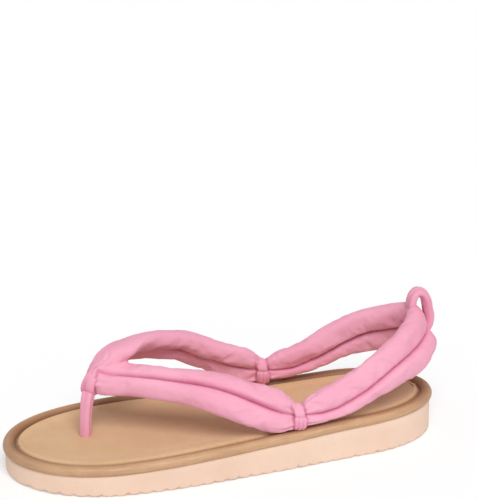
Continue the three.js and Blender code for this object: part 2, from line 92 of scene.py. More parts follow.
# The crease between the strap's two rolls, from the toe post down the outer side, round the heel and back:
# along, across and up as shares, lean of the upper and lower roll in degrees, their widths and thickness
STRAP_ROWS = np.array([
    (-0.290, 0.129, 0.958, 88, 25, 0.2, 0.74, 0.86),
    (-0.264, 0.067, 0.959, 92, 27, 0.62, 0.82, 0.86),
    (-0.232, 0.011, 0.963, 92, 28, 0.98, 0.85, 0.85),
    (-0.184, -0.075, 0.963, 88, 27, 1, 0.88, 0.88),
    (-0.136, -0.156, 0.942, 82, 26, 1, 0.92, 0.9),
    (-0.092, -0.220, 0.905, 78, 25, 1, 0.96, 0.92),
    (-0.052, -0.269, 0.841, 72, 24, 1, 1, 0.95),
    (-0.012, -0.310, 0.731, 63, 22, 1, 1, 1),
    (0.032, -0.344, 0.568, 52, 16, 1, 1, 1),
    (0.072, -0.369, 0.425, 36, 8, 0.97, 0.97, 1),
    (0.104, -0.380, 0.338, 18, 2, 0.76, 0.82, 0.95),
    (0.134, -0.381, 0.288, 5, 0, 0.4, 0.6, 0.75),
    (0.160, -0.381, 0.268, 10, -6, 0.75, 0.52, 0.9),
    (0.200, -0.378, 0.268, 16, -12, 0.97, 0.5, 1),
    (0.244, -0.374, 0.343, 20, -12, 1.02, 0.6, 1),
    (0.300, -0.355, 0.517, 22, -8, 1.05, 0.76, 1),
    (0.344, -0.323, 0.679, 23, -2, 1.05, 0.94, 1),
    (0.386, -0.274, 0.812, 25, 4, 1.08, 1.06, 1),
    (0.418, -0.220, 0.878, 26, 10, 1.12, 1.1, 1),
    (0.449, -0.151, 0.954, 27, 15, 1.16, 1.12, 0.98),
    (0.472, -0.075, 1.018, 28, 20, 1.18, 1.12, 0.95),
    (0.483, 0.010, 1.047, 30, 22, 1.2, 1.12, 0.94),
    (0.472, 0.095, 1.018, 28, 20, 1.18, 1.12, 0.95),
    (0.449, 0.170, 0.954, 27, 15, 1.16, 1.12, 0.98),
    (0.418, 0.231, 0.878, 26, 10, 1.12, 1.1, 1),
    (0.386, 0.274, 0.812, 25, 4, 1.08, 1.06, 1),
    (0.344, 0.312, 0.679, 23, -2, 1.05, 0.94, 1),
    (0.300, 0.333, 0.517, 22, -8, 1.05, 0.76, 1),
    (0.244, 0.340, 0.343, 20, -12, 1.02, 0.6, 1),
    (0.200, 0.338, 0.268, 16, -12, 0.97, 0.5, 1),
    (0.160, 0.335, 0.268, 10, -6, 0.75, 0.52, 0.9),
    (0.134, 0.335, 0.288, 5, 0, 0.4, 0.6, 0.75),
    (0.104, 0.353, 0.350, 18, 2, 0.76, 0.82, 0.95),
    (0.072, 0.376, 0.449, 32, 8, 0.97, 0.97, 1),
    (0.032, 0.404, 0.598, 46, 16, 1, 1, 1),
    (-0.012, 0.419, 0.760, 56, 20, 1, 1, 1),
    (-0.052, 0.415, 0.915, 64, 22, 1, 1, 1),
    (-0.092, 0.394, 1.037, 70, 24, 1, 1, 1),
    (-0.136, 0.355, 1.140, 76, 26, 1.04, 1, 0.95),
    (-0.184, 0.296, 1.221, 80, 29, 1.12, 1, 0.92),
    (-0.228, 0.234, 1.245, 85, 34, 1.22, 1, 0.9),
    (-0.262, 0.183, 1.170, 84, 35, 0.8, 0.95, 0.9),
    (-0.289, 0.134, 0.963, 86, 27, 0.22, 0.72, 0.84),
])
OUTER_TIE_ROW = 11
HEEL_ROW = 21
INNER_TIE_ROW = 31
LAST_ROW = len(STRAP_ROWS) - 1

# The cloth bands that hold the strap, and the pull loop
TIE = {"width": 6.6, "thickness": 2.6, "height": 16.4, "depth": 10.4, "stem": 4.2}
POST = {"width": 8.2, "thickness": 2.4, "height": 14.4, "depth": 11, "stem": 5, "forward": 5}
PULL = {"width": 8.6, "thickness": 5.2, "rise": 12.8, "reach": 10.3}
SOCKET_DEPTH = 3.5
# The toe post's band is turned and leant by degrees
POST_TURN = 58
POST_LEAN = 38
# A band's ends stand aside by millimetres, and a tie's top by that many times more
BAND_LEAN = -0.9
KNOB_LEAN = 1.5

# The strap's skin: its grain, how much smaller the bare rolls are, and how long and how far they swell
SKIN_GRAIN = 1.6
SLACK = 0.2
SWELL_STEPS = 20
SWELL_LIMIT = 1.6
# How the stuffed cloth behaves: a light weave that gives a little, cut slightly larger than its rolls
SWELL_CLOTH = {
    "use_pressure": True,
    "uniform_pressure_force": 12,
    "shrink_min": -0.03,
    "quality": 6,
    "mass": 0.05,
    "tension_stiffness": 15,
    "compression_stiffness": 15,
    "shear_stiffness": 8,
    "bending_stiffness": 0.3,
}
# Soft lumps and pleats, and half the width of the bands that the pleats spread from
LUMP_HEIGHT = 0.34
LUMP_LENGTH = 13
SMALL_LUMP_HEIGHT = 0.2
SMALL_LUMP_LENGTH = 7
PLEAT_HEIGHT = 0.6
PLEAT_REACH = 6
BAND_HALF = 3.5
# The fold between the rolls, with smaller faces beside it, and the heel's tucked-in underside
FINE_REACH = 2.4
CREASE_DEPTH = 1.5
CREASE_WIDTH = 0.85
HEEL_TUCK = 2.1
HEEL_TUCK_LENGTH = 19

# The pull loop's line: shares of its rise and reach from the upper roll's middle
PULL_ROWS = [
    (0.38, -0.05),
    (0.7, 0.16),
    (0.94, 0.45),
    (1, 0.78),
    (0.78, 0.99),
    (0.39, 0.97),
    (-0.02, 0.8),
    (-0.34, 0.67),
    (-0.6, 0.45),
    (-0.78, 0.14),
]


def read_rows(rows, column, at):
    """Smooth value of a table's column at shares, never past its neighbouring rows."""
    x, y = rows[:, 0], rows[:, column]
    rise = np.diff(y) / np.diff(x)
    slope = np.zeros(len(x))
    for k in range(1, len(x) - 1):
        if rise[k - 1] * rise[k] > 0:
            slope[k] = 2 * rise[k - 1] * rise[k] / (rise[k - 1] + rise[k])
    at = np.asarray(at, float)
    i = np.clip(np.searchsorted(x, at, "right") - 1, 0, len(x) - 2)
    span = x[i + 1] - x[i]
    u = (at - x[i]) / span
    start = y[i] * (1 + 2 * u) * (1 - u) ** 2 + slope[i] * span * u * (1 - u) ** 2
    return start + y[i + 1] * (3 - 2 * u) * u**2 - slope[i + 1] * span * (1 - u) * u**2


def share_at(x):
    return 0.5 - np.asarray(x) / SOLE_LENGTH


def wall_top(at):
    return TOE_WALL + (HEEL_WALL - TOE_WALL) * read_rows(WEDGE_ROWS, 1, at)


def footbed_top(x):
    return wall_top(share_at(x)) + GAP + RIM_HEIGHT - GROOVE_STEP


def wall_line(at, side):
    """Points of the wall's outline at shares, on the outer (-1) or inner (1) side."""
    heel = 1 - np.minimum(1, at / HEEL_ROUND)
    toe = 1 - np.minimum(1, (1 - at) / TOE_ROUND)
    round_off = np.sqrt(np.maximum(0, 1 - heel**2)) * np.sqrt(np.maximum(0, 1 - toe**2))
    half = read_rows(OUTLINE_ROWS, 1 if side < 0 else 2, at) * SOLE_WIDTH
    middle = read_rows(OUTLINE_ROWS, 3, at) * SOLE_WIDTH
    return np.stack([SOLE_LENGTH * (0.5 - at), middle + side * half * round_off], 1)


def outline(at):
    """Counterclockwise loop from the heel tip by the inner side, and the shares of its points."""
    inner, outer = wall_line(at, 1), wall_line(at, -1)
    return np.vstack([inner, outer[-2:0:-1]]), np.concatenate([at, at[-2:0:-1]])


def shares_closer_at_ends(steps):
    """Shares from 0 to 1 that lie closer together at the heel's and the toe's tips."""
    return 0.5 - 0.5 * np.cos(np.pi * np.arange(steps + 1) / steps)


def unit(vectors):
    """Vectors made one long."""
    return vectors / np.linalg.norm(vectors, axis=-1, keepdims=True)


def left_of(loop):
    """Level directions to the left of a closed line, which is inward of a counterclockwise one."""
    ahead = np.roll(loop, -1, 0) - np.roll(loop, 1, 0)
    return unit(np.column_stack([-ahead[:, 1], ahead[:, 0]]))


def inset(loop, distance):
    return loop + left_of(loop) * distance


def running_length(line):
    """Distance from a line's start to each of its points."""
    return np.concatenate([[0], np.cumsum(np.linalg.norm(np.diff(line, axis=0), axis=1))])


def full_turn(count):
    return 2 * np.pi * np.arange(count) / count


def bell(distance, width, power=2):
    """1 at no distance, falling off smoothly."""
    return np.exp(-((distance / width) ** power))


def nearest(points, targets):
    """Index of the target nearest to each point, and the distance to it."""
    tree = KDTree(len(targets))
    for k, target in enumerate(targets):
        tree.insert(Vector(target), k)
    tree.balance()
    found = np.array([tree.find(Vector(point))[1:] for point in points])
    return found[:, 0].astype(int), found[:, 1]


def soft_noise(x, seed):
    """A smooth wandering value, about -1 to 1, along a run of numbers."""
    rng = np.random.default_rng(seed)
    waves = 5
    total = np.zeros(np.shape(x))
    for _ in range(waves):
        total += np.sin(np.asarray(x) * rng.uniform(0.5, 1.9) + rng.uniform(0, 6.3))
    return total / waves * 1.4


# Meshes

def ring_faces(count, rings, closed=False):
    """Quads between rings of points that follow one another."""
    i = np.arange(count)
    after = (i + 1) % count
    faces = []
    for k in range(rings if closed else rings - 1):
        low, high = k * count, ((k + 1) % rings) * count
        faces.append(np.stack([low + i, low + after, high + after, high + i], 1))
    return np.vstack(faces)


def placed(name, data):
    """A new object in the scene."""
    thing = bpy.data.objects.new(name, data)
    bpy.context.scene.collection.objects.link(thing)
    return thing


def finished_mesh(piece):
    """The piece's mesh with its modifiers made part of it."""
    bpy.context.view_layer.update()
    graph = bpy.context.evaluated_depsgraph_get()
    return bpy.data.meshes.new_from_object(piece.evaluated_get(graph))


def mesh_piece(name, points, faces, finish=None):
    """A new piece from points in millimetres."""
    mesh = bpy.data.meshes.new(name)
    mesh.from_pydata((np.asarray(points) * MM).tolist(), [], [list(map(int, f)) for f in faces])
    mesh.validate()
    mesh.shade_smooth()
    if finish:
        mesh.materials.append(finish)
    return placed(name, mesh)


def swept_piece(name, rings, finish=None, closed=False):
    """A tube of rings, closed to itself or to a point at each end."""
    rings = np.asarray(rings, float)
    count, sides = len(rings), len(rings[0])
    points = rings.reshape(-1, 3)
    faces = [list(f) for f in ring_faces(sides, count, closed)]
    if not closed:
        points = np.vstack([points, rings[0].mean(0), rings[-1].mean(0)])
        first, last = len(points) - 2, len(points) - 1
        for k in range(sides):
            after = (k + 1) % sides
            faces.append([first, after, k])
            faces.append([last, (count - 1) * sides + k, (count - 1) * sides + after])
    return mesh_piece(name, points, faces, finish)


def paint(piece, name, values):
    """A number for every vertex, read by a material."""
    layer = piece.data.attributes.new(name, "FLOAT", "POINT")
    layer.data.foreach_set("value", np.asarray(values, np.float32))


def points_of(piece):
    co = np.zeros(len(piece.data.vertices) * 3)
    piece.data.vertices.foreach_get("co", co)
    return co.reshape(-1, 3) / MM


def set_points(piece, points):
    piece.data.vertices.foreach_set("co", (np.asarray(points) * MM).astype(np.float32).ravel())
    piece.data.update()


def add_node(tree, kind, inputs=None, **settings):
    """A node with its settings, and its inputs linked or set."""
    node = tree.nodes.new(kind)
    for key, value in settings.items():
        setattr(node, key, value)
    for name, value in (inputs or {}).items():
        socket = node.inputs[name]
        if isinstance(value, bpy.types.NodeSocket):
            tree.links.new(value, socket)
        else:
            socket.default_value = value
    return node


# Materials

NAMED = {
    "base": "Base Color",
    "specular": "Specular IOR Level",
    "sheen": "Sheen Weight",
    "sheen_rough": "Sheen Roughness",
    "sheen_tint": "Sheen Tint",
    "coat": "Coat Weight",
    "coat_rough": "Coat Roughness",
    "glow_colour": "Emission Color",
    "glow": "Emission Strength",
}


class Finish:
    """A material being made: its nodes and their links."""

    def __init__(self, name, **settings):
        self.material = bpy.data.materials.new(name)
        self.material.use_nodes = True
        self.tree = self.material.node_tree
        self.shader = self.tree.nodes["Principled BSDF"]
        for socket, value in settings.items():
            self.shader.inputs[NAMED.get(socket, socket.capitalize())].default_value = value

    def node(self, kind, inputs=None, **settings):
        return add_node(self.tree, "ShaderNode" + kind, inputs, **settings)

    def place(self):
        return self.node("TexCoord").outputs["Object"]

    def noise(self, place, scale, detail, rough):
        inputs = {"Vector": place, "Scale": scale, "Detail": detail, "Roughness": rough}
        return self.node("TexNoise", inputs).outputs[0]

    def painted(self, name):
        """A number that the piece's vertices carry."""
        return self.node("Attribute", attribute_name=name).outputs["Fac"]

    def spread(self, value, low, high, to_low, to_high):
        """A value between low and high moved to a new range, and kept inside it."""
        inputs = {"Value": value, "From Min": low, "From Max": high, "To Min": to_low, "To Max": to_high}
        return self.node("MapRange", inputs).outputs[0]

    def times(self, a, b):
        return self.node("Math", {0: a, 1: b}, operation="MULTIPLY").outputs[0]

    def blend(self, share, first, second):
        return self.node("Mix", {"Factor": share, 6: first, 7: second}, data_type="RGBA").outputs[2]

    def mottled(self, cloudy, dark, light):
        """A colour that wanders softly between two."""
        return self.blend(self.spread(cloudy, 0.3, 0.7, 0, 1), dark, light)

    def colour(self, value):
        self.tree.links.new(value, self.shader.inputs["Base Color"])

    def rough(self, value):
        self.tree.links.new(value, self.shader.inputs["Roughness"])

    def bump(self, height, strength, distance, under=None):
        inputs = {"Height": height, "Strength": strength, "Distance": distance}
        if under is not None:
            inputs["Normal"] = under
        return self.node("Bump", inputs).outputs[0]

    def raised(self, normal):
        self.tree.links.new(normal, self.shader.inputs["Normal"])


def srgb(red, green, blue):
    """An sRGB colour of 0 to 255 as a linear one."""

    def linear(v):
        v /= 255
        return v / 12.92 if v <= 0.04045 else ((v + 0.055) / 1.055) ** 2.4

    return linear(red), linear(green), linear(blue), 1


def foam_finish():
    foam = Finish("peach_foam", roughness=0.78, specular=0.3)
    place = foam.place()
    cloudy = foam.noise(place, scale=26, detail=3, rough=0.6)
    base = foam.mottled(cloudy, dark=srgb(223, 191, 169), light=srgb(231, 202, 182))
    grit = foam.noise(place, scale=1500, detail=2, rough=0.7)
    speck = foam.spread(grit, 0.6, 0.72, 0, 0.35)
    base = foam.blend(speck, base, srgb(196, 156, 132))
    low = foam.painted("scuffed")
    patches = foam.noise(place, scale=240, detail=4, rough=0.7)
    worn = foam.times(low, foam.spread(patches, 0.35, 0.7, 0, 1))
    foam.colour(foam.blend(worn, base, srgb(178, 138, 118)))
    pores = foam.noise(place, scale=2200, detail=2, rough=0.6)
    skin = foam.bump(pores, strength=0.18, distance=0.0004)
    lumps = foam.noise(place, scale=320, detail=3, rough=0.6)
    foam.raised(foam.bump(lumps, strength=0.12, distance=0.0012, under=skin))
    return foam.material


def rim_finish():
    rim = Finish("tan_rim", roughness=0.5, specular=0.4, coat=0.12, coat_rough=0.45)
    place = rim.place()
    cloudy = rim.noise(place, scale=34, detail=4, rough=0.65)
    base = rim.mottled(cloudy, dark=srgb(184, 143, 106), light=srgb(200, 160, 123))
    flat = rim.node("VectorMath", {0: place, 1: (0.1, 0.1, 0)}, operation="MULTIPLY").outputs[0]
    turned = rim.node("CombineXYZ", {"Z": rim.painted("around")}).outputs[0]
    along = rim.node("VectorMath", {0: flat, 1: turned}, operation="ADD").outputs[0]
    streak = rim.noise(along, scale=700, detail=4, rough=0.7)
    base = rim.blend(rim.spread(streak, 0.48, 0.72, 0, 0.5), base, srgb(150, 106, 72))
    base = rim.blend(rim.spread(streak, 0.42, 0.26, 0, 0.4), base, srgb(222, 184, 142))
    # Painted shade at both tips, where the light falls off
    base = rim.blend(rim.painted("ends"), base, srgb(142, 104, 78))
    # Painted shade on the inner side towards the groove, most from the middle to the heel where the strap
    # shades it
    inner = rim.painted("inner")
    rim.colour(rim.blend(rim.times(inner, 0.88), base, srgb(134, 88, 56)))
    rim.rough(rim.spread(cloudy, 0.3, 0.7, 0.44, 0.58))
    grain = rim.node("TexVoronoi", {"Vector": place, "Scale": 1250.0}, feature="F1").outputs[0]
    fine = rim.bump(grain, strength=0.22, distance=0.00035)
    dents = rim.noise(place, scale=160, detail=3, rough=0.6)
    rim.raised(rim.bump(dents, strength=0.2, distance=0.002, under=fine))
    return rim.material


def footbed_finish():
    bed = Finish("tan_suede", roughness=0.85, specular=0.2, sheen=0.25, sheen_rough=0.5)
    place = bed.place()
    cloudy = bed.noise(place, scale=40, detail=5, rough=0.7)
    base = bed.mottled(cloudy, dark=srgb(206, 167, 125), light=srgb(216, 179, 138))
    nap = bed.noise(place, scale=900, detail=4, rough=0.8)
    base = bed.blend(bed.spread(nap, 0.5, 0.75, 0, 0.35), base, srgb(172, 128, 90))
    # Painted shade: the welt and the rounded edge darken where they drop into the groove
    edge_shade = bed.painted("edge_shade")
    base = bed.blend(bed.times(edge_shade, 0.9), base, srgb(134, 86, 56))
    worn = bed.painted("worn")
    base = bed.blend(bed.times(worn, 0.25), base, srgb(190, 148, 108))
    bed.colour(base)
    fine = bed.bump(nap, strength=0.3, distance=0.0004)
    lumps = bed.noise(place, scale=240, detail=4, rough=0.7)
    bed.raised(bed.bump(lumps, strength=0.15, distance=0.0012, under=fine))
    return bed.material


def cloth_finish():
    pale = srgb(255, 214, 228)
    cloth = Finish("pink_cloth", roughness=0.92, specular=0.15, sheen=0.2, sheen_rough=0.4, sheen_tint=pale)
    place = cloth.place()
    cloudy = cloth.noise(place, scale=22, detail=3, rough=0.6)
    base = cloth.mottled(cloudy, dark=srgb(228, 157, 179), light=srgb(235, 170, 190))
    # Painted shade: darker, deeper pink in the fold between the rolls, beside the bands, and in the bands',
    # stems' and loop's folds
    painted_shade = cloth.painted("crease")
    base = cloth.blend(cloth.times(painted_shade, 0.85), base, srgb(196, 100, 138))
    loops = cloth.noise(place, scale=2600, detail=2, rough=0.6)
    base = cloth.blend(cloth.spread(loops, 0.45, 0.75, 0, 0.18), base, srgb(204, 124, 152))
    cloth.colour(base)
    weave = cloth.bump(loops, strength=0.25, distance=0.0003)
    lumps = cloth.noise(place, scale=300, detail=3, rough=0.6)
    cloth.raised(cloth.bump(lumps, strength=0.12, distance=0.0012, under=weave))
    return cloth.material


FOAM = foam_finish()
RIM = rim_finish()
BED = footbed_finish()
CLOTH = cloth_finish()


# Sole

def tread_height(x):
    """Height of the rippled underside above the ground: notches deeper towards the toe, none quite alike."""
    start = x / TREAD_PITCH + 0.5
    notch = np.round(start)
    arch = np.abs(2 * (start - np.floor(start)) - 1)
    uneven = 0.78 + 0.16 * np.sin(notch * 2.7) + 0.12 * np.sin(notch * 5.3 + 1)
    share = share_at(x)
    spring = np.maximum(0, (share - SPRING_START) / (1 - SPRING_START)) ** 2
    deeper = np.interp(share, [0.1, 0.6], [0.95, 1.35])
    ripple = np.clip(arch * 1.06 - 0.06, 0, 1) ** 2.1
    return TOE_SPRING * spring + TREAD_DEPTH * deeper * uneven * ripple


def across_faces(half, base, facing_up):
    """Strips from the inner to the outer side of a loop of 2 * half points."""
    count = 2 * half
    faces = []
    for k in range(half):
        inner, inner_next = base + k, base + k + 1
        outer, outer_next = base + (count - k) % count, base + count - k - 1
        if k == 0:
            quad = [inner, inner_next, outer_next]
        elif k == half - 1:
            quad = [inner, inner_next, outer]
        else:
            quad = [inner, inner_next, outer_next, outer]
        faces.append(quad if facing_up else quad[::-1])
    return faces


def stacked_piece(name, layers, steps, finish):
    """A solid of loops from its underside to its top."""
    count = len(layers[0])
    faces = across_faces(steps, 0, False)
    faces += [list(f) for f in ring_faces(count, len(layers))]
    faces += across_faces(steps, (len(layers) - 1) * count, True)
    return mesh_piece(name, np.vstack(layers), faces, finish)


# How far in and how high the foam's rounded edges lie: from the ripples up, and from the wall's top
FOAM_FOOT = ((0.8, 0), (0.5, 0.07), (0.24, 0.24), (0.06, 0.5), (0, 0.85), (0, 1.5))
FOAM_SHOULDER = ((0, 0.6), (0.12, 0.85), (0.5, 1), (1.6, 0.8), (2.4, 0))
FOOT_HEIGHT = FOAM_FOOT[-1][1]
SHOULDER_DROP = 0.5
# The welt's edge: shares of its width, and heights over it
WELT_EDGE = ((1, -0.5), (0.7, 0), (0.2, 0.1))


def make_outsole():
    steps, crowding = 520, 0.35
    even = np.linspace(0, 1, steps + 1)
    loop, shares = outline(even - crowding / (2 * np.pi) * np.sin(2 * np.pi * even))
    ground = tread_height(loop[:, 0])
    top = wall_top(shares)
    layers, scuffed = [], []

    def layer(inward, up, scuff=0.0):
        layers.append(np.column_stack([inset(loop, inward), up]))
        scuffed.append(np.full(len(loop), scuff))

    for inward, up in FOAM_FOOT:
        layer(inward, ground + up, 1 - up / FOOT_HEIGHT)
    for share in (0.25, 0.5, 0.75):
        layer(0, ground + FOOT_HEIGHT + (top - SHOULDER_DROP - ground - FOOT_HEIGHT) * share)
    for inward, up in FOAM_SHOULDER:
        layer(inward, top + up)
    piece = stacked_piece("foam_wedge", layers, steps, FOAM)
    paint(piece, "scuffed", np.concatenate(scuffed))
    return piece


def rim_tree():
    """A tree that makes a rounded cord along a closed line, with named sizes."""
    tree = bpy.data.node_groups.new("rolled_rim", "GeometryNodeTree")
    kinds = {"Width": "Float", "Height": "Float", "Sides": "Int"}
    for name in ("Geometry", "Width", "Height", "Sides", "Material"):
        tree.interface.new_socket(name, in_out="INPUT", socket_type="NodeSocket" + kinds.get(name, name))
    tree.interface.new_socket("Geometry", in_out="OUTPUT", socket_type="NodeSocketGeometry")

    def step(kind, inputs, **settings):
        return add_node(tree, kind, inputs, **settings).outputs[0]

    given = tree.nodes.new("NodeGroupInput").outputs
    line = step("GeometryNodeMeshToCurve", {"Mesh": given["Geometry"]})
    upright = step("GeometryNodeSetCurveNormal", {"Curve": line}, mode="Z_UP")
    circle = step("GeometryNodeCurvePrimitiveCircle", {"Radius": 0.5, "Resolution": given["Sides"]})
    size = step("ShaderNodeCombineXYZ", {"X": given["Width"], "Y": given["Height"], "Z": 1})
    section = step("GeometryNodeTransform", {"Geometry": circle, "Scale": size})
    swept = step("GeometryNodeCurveToMesh", {"Curve": upright, "Profile Curve": section})
    smooth = step("GeometryNodeSetShadeSmooth", {"Geometry": swept})
    real = step("GeometryNodeRealizeInstances", {"Geometry": smooth})
    dressed = step("GeometryNodeSetMaterial", {"Geometry": real, "Material": given["Material"]})
    add_node(tree, "NodeGroupOutput", {"Geometry": dressed})
    return tree


def grown(piece, tree, name, **values):
    """The plain mesh that a tree makes from a piece."""
    modifier = piece.modifiers.new("grow", "NODES")
    modifier.node_group = tree
    for item in tree.interface.items_tree:
        if item.in_out == "INPUT" and item.name in values:
            modifier[item.identifier] = values[item.name]
    made = finished_mesh(piece)
    bpy.data.objects.remove(piece)
    made.name = name
    return placed(name, made)


def make_rim():
    loop, shares = outline(shares_closer_at_ends(260))
    line = inset(loop, RIM_WIDTH / 2 - RIM_OVERHANG)
    lift = RIM_WAVE * soft_noise(running_length(line) / RIM_WAVE_LENGTH, 3)
    up = wall_top(shares) + GAP + RIM_HEIGHT / 2 + lift
    points = np.column_stack([line, up])
    count = len(points)
    mesh = bpy.data.meshes.new("rim_line")
    mesh.from_pydata((points * MM).tolist(), [(k, (k + 1) % count) for k in range(count)], [])
    sizes = {"Width": RIM_WIDTH * MM, "Height": RIM_HEIGHT * MM, "Sides": 28, "Material": RIM}
    cord = grown(placed("rim_line", mesh), rim_tree(), "rolled_rim", **sizes)

    # Painted shade: the rim is darker on its inner side towards the groove, more so from the middle to the
    # heel where the strap shades it, and a little at both tips where the light falls off
    skin = points_of(cord)
    k = nearest(skin, points)[0]
    share = ((skin[:, :2] - line[k]) * left_of(line)[k]).sum(1) / (RIM_WIDTH / 2)
    heelward = np.clip((skin[:, 0] + 5) / 15, 0, 1)
    uneven = soft_noise(k / RIM_WAVE_LENGTH, 21)
    paint(cord, "inner", np.clip(share * 0.85 + 0.25 + 0.4 * heelward + 0.1 * uneven, 0, 1))
    turn = np.arctan2(skin[:, 2] - up[k], share * RIM_WIDTH / 2)
    paint(cord, "around", turn * RIM_WIDTH / 2 * MM)
    # Painted shade at both tips, where the light falls off
    paint(cord, "ends", 0.4 * np.clip(np.abs(skin[:, 0]) / SOLE_LENGTH * 10 - 4, 0, 1))
    return cord


def make_footbed():
    steps = 240
    loop, shares = outline(shares_closer_at_ends(steps))
    loop = inset(loop, RIM_WIDTH - RIM_OVERHANG + GROOVE_WIDTH)
    base = wall_top(shares) + GAP
    top = RIM_HEIGHT - GROOVE_STEP
    middle = np.column_stack([loop[:, 0], read_rows(OUTLINE_ROWS, 3, shares) * SOLE_WIDTH])
    layers, edge_shade, worn = [], [], []

    def layer(points, high, groove_shade_share=0, worn_share=0):
        layers.append(np.column_stack([points, base + high]))
        edge_shade.append(np.full(len(points), groove_shade_share, float))
        worn.append(np.full(len(points), worn_share, float))

    # Painted shade on the welt and down the rounded edge, where the groove shades them
    layer(inset(loop, -WELT), 0, groove_shade_share=1)
    for out, up in WELT_EDGE:
        layer(inset(loop, -WELT * out), top - WELT_DEPTH + up, groove_shade_share=1)
    for turn in np.linspace(10, 90, 9):
        angle = math.radians(turn)
        ring = inset(loop, EDGE_ROUND * (1 - math.cos(angle)))
        layer(ring, top - EDGE_ROUND * (1 - math.sin(angle)), groove_shade_share=max(0, 1 - turn / 45))
    flat = inset(loop, EDGE_ROUND)
    for share in np.linspace(0.02, 0.97, 34):
        ring = flat + (middle - flat) * share
        away = np.linalg.norm(ring - flat, axis=1)
        dish = np.clip(away / DISH_MARGIN, 0, 1)
        dish = dish * dish * (3 - 2 * dish)
        layer(ring, top - DISH_DEPTH * dish, worn_share=min(1, share * 2.5))
    piece = stacked_piece("shaped_footbed", layers, steps, BED)
    paint(piece, "edge_shade", np.concatenate(edge_shade))
    paint(piece, "worn", np.concatenate(worn))
    return piece


# Strap

class Crease:
    """The line between the two rolls, read at a row number that need not be whole."""

    def __init__(self):
        x = STRAP_ROWS[:, 0] * SOLE_LENGTH
        up = footbed_top(x) + STRAP_ROWS[:, 2] * STRAP_RISE
        points = np.column_stack([x, STRAP_ROWS[:, 1] * SOLE_WIDTH, up])
        self.points = np.vstack([2 * points[0] - points[1], points, 2 * points[-1] - points[-2]])
        self.rows = np.column_stack([np.arange(LAST_ROW + 1), STRAP_ROWS])

    def point(self, row):
        row = np.atleast_1d(np.asarray(row, float))
        i = np.clip(np.floor(row).astype(int), 0, LAST_ROW - 1)
        u = (row - i)[:, None]
        a, b, c, d = (self.points[i + k] for k in range(4))
        steps = ((a, b), (b, c), (c, d))
        first, second, third = (np.linalg.norm(q - p, axis=1)[:, None] ** 0.5 for p, q in steps)
        start = ((b - a) / first - (c - a) / (first + second) + (c - b) / second) * second
        end = ((c - b) / second - (d - b) / (second + third) + (d - c) / third) * second
        return b + start * u + (3 * (c - b) - 2 * start - end) * u**2 + (2 * (b - c) + start + end) * u**3

    def ahead(self, row):
        step = 0.02
        row = np.atleast_1d(np.asarray(row, float))
        return unit(self.point(np.minimum(row + step, LAST_ROW)) - self.point(np.maximum(row - step, 0)))

    def value(self, column, row):
        """A column of the strap's table at a row number."""
        return read_rows(self.rows, column + 1, np.atleast_1d(row))

    def frame(self, row, lean):
        """Directions ahead, across the roll and out of it, where the roll leans by degrees."""
        ahead = self.ahead(row)
        inward = unit(np.column_stack([-ahead[:, 1], ahead[:, 0], np.zeros(len(ahead))]))
        upward = np.cross(ahead, inward)
        angle = np.radians(lean)[:, None]
        across = upward * np.cos(angle) + inward * np.sin(angle)
        return ahead, across, np.cross(ahead, across)


CREASE = Crease()


def roll_sections(side, rows):
    """Middle, directions and half sizes of the upper (1) or lower (-1) roll at row numbers."""
    rows = np.atleast_1d(rows)
    ahead, across, out = CREASE.frame(rows, CREASE.value(3 if side > 0 else 4, rows))
    half = CREASE.value(5 if side > 0 else 6, rows) * ROLL_WIDTH / 2
    thick = CREASE.value(7, rows) * ROLL_THICKNESS / 2
    for tie in (OUTER_TIE_ROW, INNER_TIE_ROW):
        thick = thick * (1 - 0.3 * bell(rows - tie, 0.55))
    middle = CREASE.point(rows) + across * (side * (half - ROLL_MERGE / 2))[:, None]
    return middle, ahead, across, out, half, thick


def oval(angle, square):
    """Unit section that is a little squarer than an ellipse."""
    c, s = np.cos(angle), np.sin(angle)
    return np.sign(c) * np.abs(c) ** square, np.sign(s) * np.abs(s) ** square


def roll_rings(side, first, last):
    """Rings of one roll between two rows, with rounded ends."""
    steps, sides = 12 * LAST_ROW, 40
    middle, ahead, across, out, half, thick = roll_sections(side, np.linspace(first, last, steps))
    half, thick = half - SLACK, thick - SLACK
    c, s = oval(full_turn(sides), 0.94)
    rings = [
        m + np.outer(c, a) * h + np.outer(s, o) * t
        for m, a, o, h, t in zip(middle, across, out, half, thick)
    ]

    def dome(k, way):
        made = []
        for turn in np.linspace(15, 85, 6):
            angle = math.radians(turn)
            shift = ahead[k] * way * thick[k] * math.sin(angle)
            made.append(middle[k] + shift + (rings[k] - middle[k]) * math.cos(angle))
        return made

    return dome(0, -1)[::-1] + rings + dome(-1, 1)


def merged_mesh(name, parts):
    """One mesh object of several closed shells."""
    points, faces, base = [], [], 0
    for part in parts:
        own = points_of(part)
        points.append(own)
        faces += [[base + v for v in p.vertices] for p in part.data.polygons]
        base += len(own)
        bpy.data.objects.remove(part)
    return mesh_piece(name, np.vstack(points), faces)


def apply_modifiers(piece):
    made = finished_mesh(piece)
    old = piece.data
    piece.modifiers.clear()
    piece.data = made
    bpy.data.meshes.remove(old)


def corner_shell():
    """The full corner where the rolls meet under the toe post's band."""
    rows = ((0, -1), (LAST_ROW, -1), (1.0, 1), (LAST_ROW - 1.0, 1))
    shell = bmesh.new()
    for row, side in rows:
        middle, ahead, across, out, half, thick = (v[0] for v in roll_sections(side, row))
        for up in np.linspace(-80, 80, 9):
            for round_turn in np.linspace(0, 360, 17)[:-1]:
                a, b = math.radians(up), math.radians(round_turn)
                point = (
                    middle
                    + across * half * math.sin(a)
                    + out * thick * math.cos(a) * math.cos(b)
                    + ahead * thick * math.cos(a) * math.sin(b)
                )
                shell.verts.new(point * MM)
    hull = bmesh.ops.convex_hull(shell, input=shell.verts)
    unused = set(hull["geom_interior"] + hull["geom_unused"])
    loose = [v for v in unused if isinstance(v, bmesh.types.BMVert)]
    bmesh.ops.delete(shell, geom=loose, context="VERTS")
    mesh = bpy.data.meshes.new("corner")
    shell.to_mesh(mesh)
    shell.free()
    return placed("corner", mesh)


